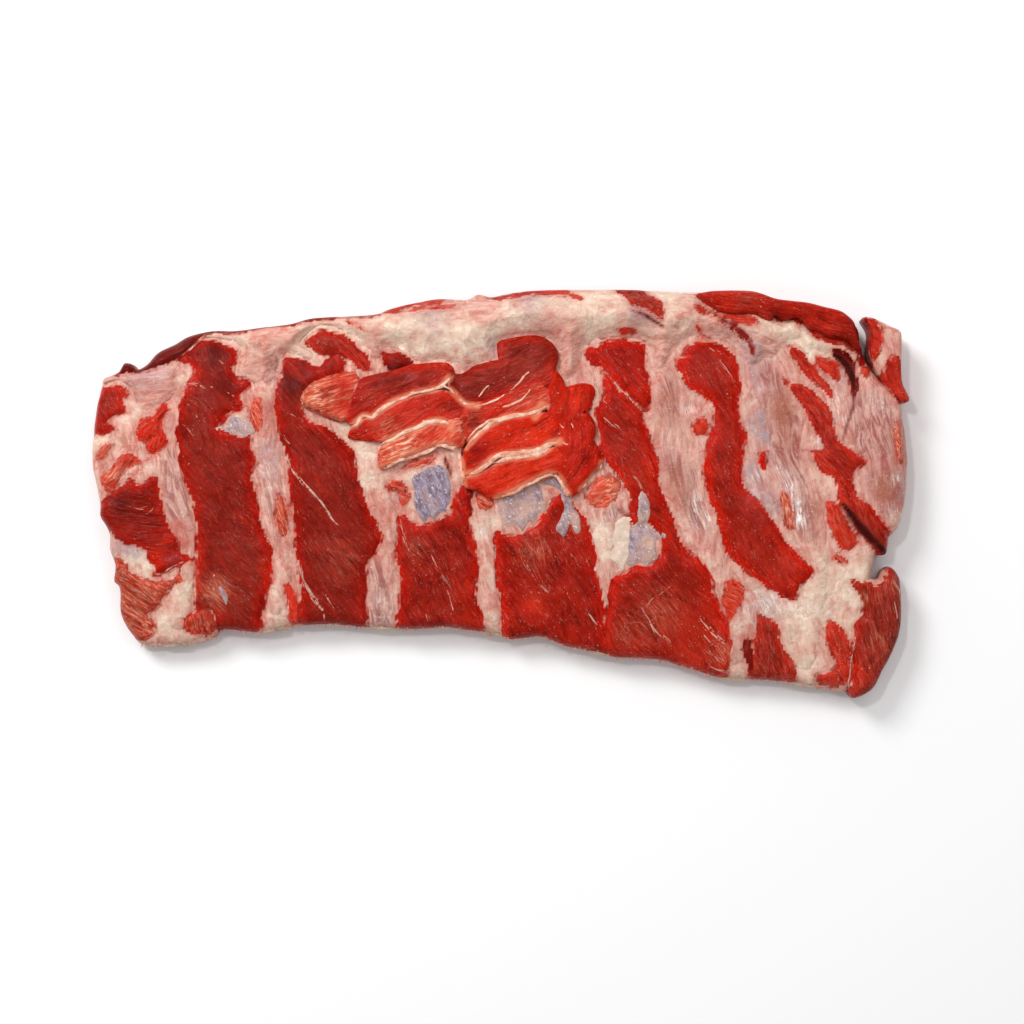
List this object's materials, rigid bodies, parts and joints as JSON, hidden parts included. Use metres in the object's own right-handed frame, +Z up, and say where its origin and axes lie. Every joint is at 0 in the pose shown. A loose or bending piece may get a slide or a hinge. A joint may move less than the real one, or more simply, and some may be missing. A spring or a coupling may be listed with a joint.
{
  "type": "raw rack of beef back ribs",
  "caption": "Raw rack of beef back ribs lying flat: rib bones in lean meat, a fat cap along the backbone edge and slips of strap muscle across the middle.",
  "frame": {"origin": "on the table, under the middle of the rack", "axes": "+X along the rack, +Y along the ribs towards the backbone edge, +Z up from the table to the trimmed face"},
  "size_m": [0.4301, 0.2147, 0.0379],
  "materials": {
    "lean": "wet raw beef",
    "strap_lean": "wet raw beef, brighter",
    "fat": "firm cream fat, moist",
    "bone": "rib bone under a thin moist skin"
  },
  "bodies": {
    "root": {"meat": "lean", "back_muscle": "lean", "corner_muscle": "lean", "end_flap": "lean", "fat_cap": "fat", "rib_1": "bone", "rib_2": "bone", "rib_3": "bone", "rib_4": "bone", "rib_5": "bone", "rib_6": "bone", "rib_7": "bone", "rib_8": "bone", "slip_left_1": "strap_lean", "slip_left_2": "strap_lean", "slip_left_3": "strap_lean", "slip_left_4": "strap_lean", "slip_right_1": "strap_lean", "slip_right_2": "strap_lean", "slip_right_3": "strap_lean", "slip_right_4": "strap_lean"}
  },
  "joints": []
}
